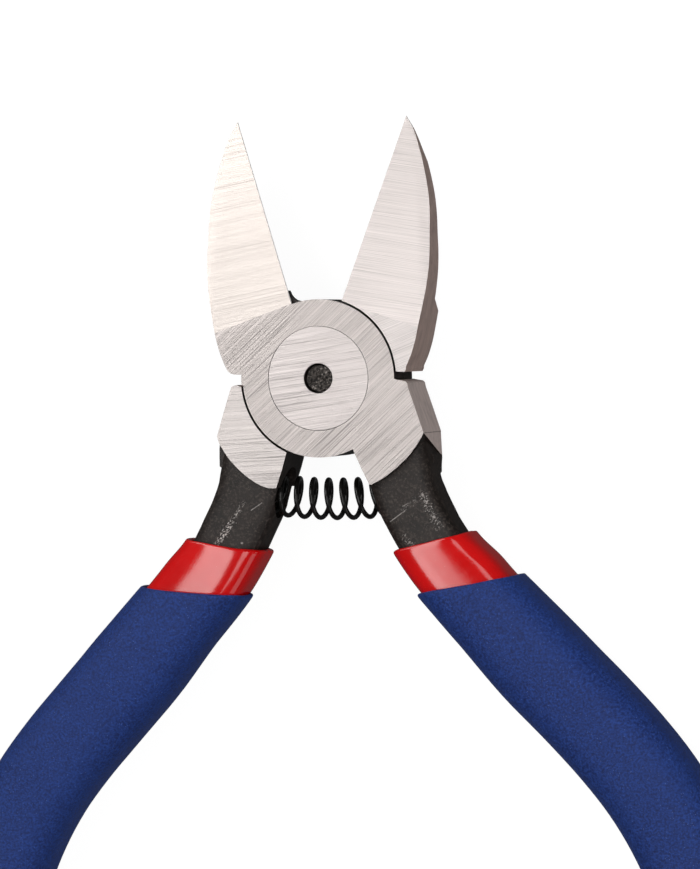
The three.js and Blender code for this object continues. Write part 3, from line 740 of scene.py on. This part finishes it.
def lever(front):
    global HAND
    HAND = "front" if front else "back"
    solid = jaw(1.012 if front else 0.975)
    solid = join_solid(solid, prism(shoulder_outline(), 0, HEAD_T))
    solid = join_solid(solid, tang())
    if front:
        solid = join_solid(solid, wedge())
    solid = join_solid(solid, flank())
    mid = HEAD_T / 2
    if front:
        solid = cut(solid, post(R_ARC, -1, mid + LAP_GAP / 2))
        web = prism([(-1.2, 10.0), (3.5, 9.5), (3.1, 10.1), (2.3, 10.4), (1.5, 10.6), (0.95, 10.8), (0.5, 11.1), (0.2, 11.5), (0, 12.0),
                     (-0.08, 12.7), (-1.2, 12.7)], 7.0, 8.0)
        solid = join_solid(solid, web)
        solid = join_solid(solid, post(R_DISC, mid + LAP_GAP / 2, HEAD_T))
        wall = [(10.93 * math.cos(a * DEG), 10.93 * math.sin(a * DEG)) for a in (157, 159, 161, 163, 165)]
        solid = join_solid(solid, prism(wall + [(-9.8, 2.7), (-9.4, 4.2)], mid + LAP_GAP / 2, HEAD_T))
        solid = cut(solid, post(BARREL_R + RUN, -1, HEAD_T + 1, 96))
        solid = cut(solid, post(BUSH_R + 0.085, HEAD_T - BUSH_FLANGE - RUN, HEAD_T + 1, 160))
        solid = cut(solid, pocket(OPEN_FRONT, 7.1))
    else:
        solid = mirrored(solid)
        solid = cut(solid, post(R_ARC, mid - LAP_GAP / 2, HEAD_T + 1))
        solid = join_solid(solid, post(R_DISC, 0, mid - LAP_GAP / 2))
        solid = cut(solid, post(BARREL_R + RUN, -1, HEAD_T + 1, 96))
        solid = cut(solid, pocket(-OPEN_BACK, -6.3))
    tidy(solid)

    def plate_edge(e):
        c = (e.verts[0].co + e.verts[1].co) / 2
        return c.y > -16.4 and e.calc_length() > 0.02
    bevel(solid, 0.09, plate_edge)
    return solid


SLOPE_N = Vector((0, math.sin(SLOPE), math.cos(SLOPE)))
SLOPE_P = Vector((0, SLOPE_Y, HEAD_T))


def zones(front):
    """0 front plane of the head, 1 blade face, 2 shoulder plate, 3 side walls, 4 black, 5 lap, 6 back, 7 hollow, 8
    lower flat, 9 wall under the cutting edge, painted pale as a highlight
    """
    sgn = 1 if front else -1

    def zone(c, n):
        r = math.hypot(c.x, c.y)
        up = n.z > 0.35
        if up and c.y > SLOPE_Y - 0.12 and abs((c - SLOPE_P).dot(SLOPE_N)) < 0.16:
            return 1
        if up and c.z > HEAD_T - 0.14:
            if c.y < -4:
                return 2
            return 0 if front else 8
        # the narrow wall under the cutting edge goes to zone 9, the painted highlight
        if c.y > 12.7 and abs(c.x) < 1.4 and n.z > -0.6:
            return 1 if n.z > 0.5 else 9
        if 9.8 < c.y < 12.6 and 6.9 < c.z < 8.1 and abs(c.x) < 1.35 and front:
            return 5
        if r < R_ARC + 0.06 and c.z < HEAD_T - 0.14:
            return 6 if n.z < -0.5 and c.z < 0.15 else 5
        if c.y < -4:
            if n.z < -0.7 and c.z < 0.15:
                return 6
            wall = sgn * n.x > 0.8 and abs(c.x) > 10.2
            on_wedge = abs((c.x - 11.4) * 0.957 - (c.y + 11.8) * 0.29) < 0.06 and n.x * 0.957 - n.y * 0.29 > 0.995
            if front and wall and abs(n.z) < 0.3 and (c.y > -11.85 or on_wedge):
                return 3
            if not front and wall and c.y > -12.0 and c.z < 8.8:
                return 3
            return 3 if c.y > -5.2 else 4
        if n.z < -0.7 and c.z < 0.15:
            return 6
        if n.z < -0.2 or (sgn * n.x > 0.3 and c.y > 9.2):
            return 7
        return 3
    return zone


front_lever = finish_piece(lever(True), "front_lever_ground", "front", "front_half", ["front_lever"],
                           [steel_head, steel_left_blade, steel_head, side_front, black_front, black_lap, steel_back, steel_hollow, steel_head, edge_painted_highlight],
                           zones(True), smooth_angle=18)
back_lever = finish_piece(lever(False), "back_lever_ground", "back", "back_half", ["back_lever"],
                          [steel_right_flat, steel_right_blade, steel_left_shoulder, side_back, black_back, black_lap, steel_back, steel_hollow, steel_right_flat, edge_painted_highlight],
                          zones(False), smooth_angle=18)

# ------------------------------------------------------------------ pivot
b = 0.05
profile = [(PIN_R + RUN, 0.1), (PIN_R + RUN + 0.1, 0), (BARREL_R - 0.1, 0), (BARREL_R, 0.1), (BARREL_R, HEAD_T - BUSH_FLANGE),
           (BUSH_R, HEAD_T - BUSH_FLANGE), (BUSH_R + 0.05, HEAD_T - BUSH_FLANGE + 0.05), (BUSH_R + 0.05, HEAD_T - b),
           (BUSH_R + 0.05 - 0.3 * b, HEAD_T - 0.3 * b), (BUSH_R + 0.05 - b, HEAD_T),
           (PIN_R + RUN + 0.07, HEAD_T), (PIN_R + RUN + 0.02, HEAD_T - 0.02), (PIN_R + RUN, HEAD_T - 0.07)]
bush = lathe("bush", profile, 160)
finish_piece(bush, "pivot_bush_ground", None, "back_half", ["pivot_bush"], [steel_disc, black_lap],
             lambda c, n: 0 if n.z > 0.3 or n.z < -0.5 else 1, smooth_angle=18)

# rough cut end of the pin: a dented disc on a plain shank
rr = np.random.default_rng(11)
rings = []
top = HEAD_T - 0.5
SEG = 72
ang = np.arange(SEG) / SEG * 2 * np.pi
bumps = [(rr.uniform(-1.7, 1.7), rr.uniform(-1.7, 1.7), rr.uniform(0.13, 0.34), rr.uniform(-0.24, 0.2)) for _ in range(90)]


def pin_height(x, y):
    h = np.zeros_like(x)
    for bx, by, br, bh in bumps:
        h += bh * np.exp(-((x - bx) ** 2 + (y - by) ** 2) / br**2)
    return np.clip(top - 0.05 + h, top - 0.55, top + 0.12)


for r_ in (PIN_R - 0.2,):
    rings.append(np.stack([r_ * np.cos(ang), r_ * np.sin(ang), 0 * ang], 1))
rings.append(np.stack([PIN_R * np.cos(ang), PIN_R * np.sin(ang), 0 * ang + 0.2], 1))
rings.append(np.stack([PIN_R * np.cos(ang), PIN_R * np.sin(ang), 0 * ang + top - 0.3], 1))
for r_ in np.concatenate([[PIN_R - 0.06], np.linspace(PIN_R - 0.22, 0.06, 26)]):
    x, y = r_ * np.cos(ang), r_ * np.sin(ang)
    z = pin_height(x, y) if r_ < PIN_R - 0.1 else np.full(SEG, top - 0.14)
    rings.append(np.stack([x, y, z], 1))
finish_piece(loft("pin", rings), "centre_pin_rough", None, "back_half", ["centre_pin"], [pit], smooth_angle=50)

# ------------------------------------------------------------------ spring
N_WIRE, N_STEP = 14, 760
cx = np.linspace(SPRING_X0 + 0.95, SPRING_X1 - 0.95, N_STEP + 1)
a = 2 * np.pi * SPRING_TURNS * (cx - SPRING_X0 - WIRE_R) / (SPRING_X1 - SPRING_X0 - 2 * WIRE_R) + SPRING_PHASE
tilt = -SPRING_FAN * (cx + 0.8)
C = np.stack([cx + SPRING_R * np.cos(a) * np.sin(tilt),
              SPRING_Y + SPRING_BOW * (cx - SPRING_MID) ** 2 + SPRING_R * np.cos(a) * np.cos(tilt), SPRING_Z + SPRING_R * np.sin(a)], 1)
T = np.gradient(C, axis=0)
T /= np.linalg.norm(T, axis=1)[:, None]
R = np.stack([np.cos(a) * np.sin(tilt), np.cos(a) * np.cos(tilt), np.sin(a)], 1)
R -= (R * T).sum(1)[:, None] * T
R /= np.linalg.norm(R, axis=1)[:, None]
B = np.cross(T, R)
q = np.arange(N_WIRE) / N_WIRE * 2 * np.pi
rings = []
for i in range(N_STEP + 1):
    w = WIRE_SKIN if 0 < i < N_STEP else WIRE_SKIN - 0.08
    rings.append(C[i] + w * (np.cos(q)[:, None] * R[i] + np.sin(q)[:, None] * B[i]))
spring = loft("spring", rings)
finish_piece(spring, "return_spring_wire", None, None, ["return_spring"], [wire_black], smooth_angle=60)
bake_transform(spring)
# read out the wire's vertex positions, and their x
co = np.zeros(len(spring.data.vertices) * 3, np.float32)
spring.data.vertices.foreach_get("co", co)
x = co.reshape(-1, 3)[:, 0]

# ------------------------------------------------------------------ sleeves and grips


def trim_s(u, a, b):
    """Arc length at which the line offset by u across the handle crosses the mouth line a-b."""
    u = np.asarray(u, float)
    kk = (b[1] - a[1]) / (b[0] - a[0])
    lo, hi = np.full(u.shape, 5.0), np.full(u.shape, 45.0)
    for _ in range(36):
        mid = (lo + hi) / 2
        p, n, _ = line_frame(mid)
        above = (p[..., 1] + n[..., 1] * u) - (a[1] + kk * (p[..., 0] + n[..., 0] * u - a[0])) > 0
        lo, hi = np.where(above, mid, lo), np.where(above, hi, mid)
    return (lo + hi) / 2


def tube(name, power, count, mouth, outer, bore, s_end, inner_end, wave, seed, lip):
    """A sleeve: skewed wavy mouth with a rounded rim, outer skin to a closed end, and the bore back up to the mouth."""
    u, v = section(power, count, 0)
    w0 = outer(np.array([mouth[2]]))
    sm = trim_s(np.where(u > 0, u * w0[2], u * w0[0]), mouth[0], mouth[1])
    ang_ = np.arctan2(v, u)
    sm = sm + wave * rng_wave(ang_ / (2 * np.pi) * 20, seed, 20 / 3, 3)
    s0 = float(sm.mean())

    def s_at(d):
        # stations keep the mouth's skew and lose it further down
        f = ease(d / 26)
        return (sm + d) * (1 - f) + (s0 + d) * f

    def ring(s, wi, tk, wo):
        p, n, _ = line_frame(s)
        k = np.where(u > 0, u * wi + (wo - wi) * u * u * (3 - 2 * u), u * wi)
        return np.stack([p[:, 0] + n[:, 0] * k, p[:, 1] + n[:, 1] * k, HANDLE_Z + v * tk], 1)
    rings = []
    total = s_end - s0
    ds = np.unique(np.concatenate([lip * np.array([0, 0.06, 0.16, 0.32, 0.55, 0.85, 1.3]), np.linspace(1.1, 12, 16), np.linspace(12, total * 0.93, 44),
                                   total * (0.93 + 0.07 * np.sin(np.linspace(0, np.pi / 2, 14)))]))
    for d in ds:
        s = s_at(d)
        wi, tk, wo = outer(s)
        e = lip * (1 - math.sqrt(max(0.0, 1 - (1 - min(d / (1.3 * lip), 1)) ** 2)))
        rings.append(ring(s, wi - e, tk - e, wo - e))
    inner = []
    di = np.concatenate([[0.0, 0.12, 0.3, 1.2], np.linspace(3, 14, 8), np.linspace(14, inner_end - s0, 30)[1:]])
    for d in di:
        s = s_at(d)
        wi, tk, wo = bore(s)
        e = 0.10 * max(0.0, 1 - d / 0.3)
        inner.append(ring(s, wi + e, tk + e, wo + e))
    return loft(name, inner[::-1] + rings)


def swell(s):
    return 0.7 * ease((s - S_SLEEVE) / 8) * (1 - ease((s - S_SLEEVE - 14) / 10))


def sleeve_outer(s):
    w, t_ = tang_size(s)
    left = np.clip((S_SLEEVE_END - s) / 3.0, 0, 1)
    end = np.sqrt(np.clip(1 - (1 - left) ** 2, 0.12, 1))
    return (w + 0.93) * end, (t_ + 0.93) * end, (w + 0.93) * end + swell(s)


def sleeve_bore(s):
    w, t_ = tang_size(s)
    return w + FIT, t_ + FIT, w + FIT


def grip_outer(s):
    d = s - S_GRIP
    w = lerp(5.90, 6.68, ease(d / 17))
    t_ = lerp(5.8, 6.33, ease(d / 16))
    left = S_GRIP_END - s
    end = np.sqrt(np.clip(1 - (np.clip((6.2 - left) / 6.2, 0, 1)) ** 2, 0.02, 1))
    return w * end, t_ * end, w * end + 0.65 * (1 - ease(d / 20))


def grip_bore(s):
    w, t_ = tang_size(s)
    return w + 0.95 + SLIDE, t_ + 0.95 + SLIDE, w + 0.95 + SLIDE + swell(s)


MOUTHS = {"right": (((2, -25.49), (12, -26.25)), ((3, -32.05), (15.8, -33.84))),
          "left": (((2, -25.35), (12, -26.81)), ((3, -32.18), (15.8, -34.98)))}
for side, half, body in (("right", "front", "front_half"), ("left", "back", "back_half")):
    HAND = half
    o = tube("sleeve", 4, 96, (*MOUTHS[side][0], S_SLEEVE), sleeve_outer, sleeve_bore, S_SLEEVE_END, S_TANG_END + FIT,
             0.09, 21 if side == "right" else 33, 0.27)
    g = tube("grip", 2.9, 112, (*MOUTHS[side][1], S_GRIP), grip_outer, grip_bore, S_GRIP_END, S_SLEEVE_END + FIT,
             0.06, 41 if side == "right" else 52, 0.26)
    if side == "left":
        mirrored(o)
        mirrored(g)
    finish_piece(o, side + "_sleeve_red", half, body, [side + "_inner_sleeve"], [red], smooth_angle=60)
    finish_piece(g, side + "_grip_blue", half, body, [side + "_outer_grip"], [blue], smooth_angle=60)

# ------------------------------------------------------------------ stage
z0 = min(c for c in (CAD_BOX[0][2],))
floor = new_obj("studio_floor", [(-3, -3, z0), (3, -3, z0), (3, 3, z0), (-3, 3, z0)], [(0, 1, 2, 3)])
fm = Mat("studio_white", Metallic=0.0)
fm.b.inputs["Emission Color"].default_value = (1, 1, 1, 1)
fm.b.inputs["Emission Strength"].default_value = 0.95
fm.b.inputs["Specular IOR Level"].default_value = 0.1
paper = fm.noise(fm.grain(30), 2, 0.5)
fm.done(fm.mix(fm.span(paper, 0.3, 0.7), (0.10, 0.10, 0.10), (0.11, 0.11, 0.11)), 0.9)
floor.data.materials.append(fm.m)
# the glowing paper is backdrop only, it does not light the tool
floor.visible_diffuse = False
floor.visible_glossy = False


def softbox(name, at, look, size, power, color=(1, 1, 1), up="Y"):
    d = bpy.data.lights.new(name, "AREA")
    d.shape = "RECTANGLE"
    d.size, d.size_y = size
    d.energy = power
    d.color = color
    o = bpy.data.objects.new(name, d)
    o.location = at
    o.rotation_euler = (Vector(look) - Vector(at)).to_track_quat("-Z", up).to_euler()
    bpy.context.scene.collection.objects.link(o)
    return o


def box_light(name, direction, dist, size, radiance, color=(1, 1, 1), up="Y"):
    """A softbox in a direction from the tool, given by its radiance."""
    v = Vector(direction).normalized() * dist
    return softbox(name, v, (0, 0, 0), size, radiance * size[0] * size[1] * math.pi, color, up)


box_light("key_strip", (-0.315, 0.0, 0.95), 1.2, (0.215, 0.9), 4.2, (1, 0.99, 0.975), "X")
box_light("key_upper", (-0.42, 0.50, 0.78), 1.2, (0.55, 0.42), 3.9, (1, 0.99, 0.975))
box_light("second_strip", (0.255, -0.03, 0.965), 1.2, (0.44, 1.0), 2.2, (1, 1, 1), "X")
box_light("low_back", (-0.64, 0.64, 0.42), 1.4, (0.8, 0.8), 1.2)
box_light("low_front", (0.68, -0.68, 0.32), 1.4, (0.8, 0.8), 0.85)
box_light("low_side", (1.0, 0.0, 0.18), 1.4, (0.6, 0.5), 1.0)
# broad scrims that only lift the matt colours
for scrim in (box_light("fill_left", (-0.62, 0.34, 0.74), 1.3, (0.9, 0.9), 0.9),
              box_light("fill_right", (0.80, 0.22, 0.55), 1.3, (0.9, 0.9), 2.2),
              box_light("fill_low", (0.05, -0.75, 0.65), 1.3, (0.9, 0.6), 0.4)):
    scrim.visible_glossy = False

world = bpy.data.worlds.new("studio")
bpy.context.scene.world = world
world.use_nodes = True
wt = world.node_tree
backdrop = wt.nodes["Background"]
backdrop.inputs[0].default_value = (0.93, 0.945, 0.96, 1)
backdrop.inputs[1].default_value = 0.07
seen = wt.nodes.new("ShaderNodeBackground")
seen.inputs[0].default_value = (0.95, 0.955, 0.96, 1)
seen.inputs[1].default_value = 0.95
ray = wt.nodes.new("ShaderNodeLightPath")
pick = wt.nodes.new("ShaderNodeMixShader")
wt.links.new(ray.outputs["Is Camera Ray"], pick.inputs[0])
wt.links.new(backdrop.outputs[0], pick.inputs[1])
wt.links.new(seen.outputs[0], pick.inputs[2])
wt.links.new(pick.outputs[0], wt.nodes["World Output"].inputs[0])

# ------------------------------------------------------------------ camera
YAW, PITCH, DIST = 16.9 * DEG, 1.5 * DEG, 0.600
back = Vector((math.sin(YAW) * math.cos(PITCH), math.sin(PITCH), math.cos(YAW) * math.cos(PITCH)))
right = Vector((math.cos(YAW), 0, -math.sin(YAW)))
up = back.cross(right)
ref = Vector((0, 0, HEAD_T * MM))
loc = ref + back * DIST - right * (-4.324 * MM) - up * (7.581 * MM)
cam = bpy.data.cameras.new("camera")
cam.sensor_width = 36.0
cam.lens = 4440 * 36.0 / 869
cam.clip_start, cam.clip_end = 0.05, 20
camera = bpy.data.objects.new("camera", cam)
bpy.context.scene.collection.objects.link(camera)
camera.matrix_world = Matrix.Translation(loc) @ Matrix((right, up, back)).transposed().to_4x4()
bpy.context.scene.camera = camera
bpy.context.scene.view_settings.view_transform = "Standard"
bpy.context.scene.view_settings.look = "None"

bpy.context.view_layer.update()
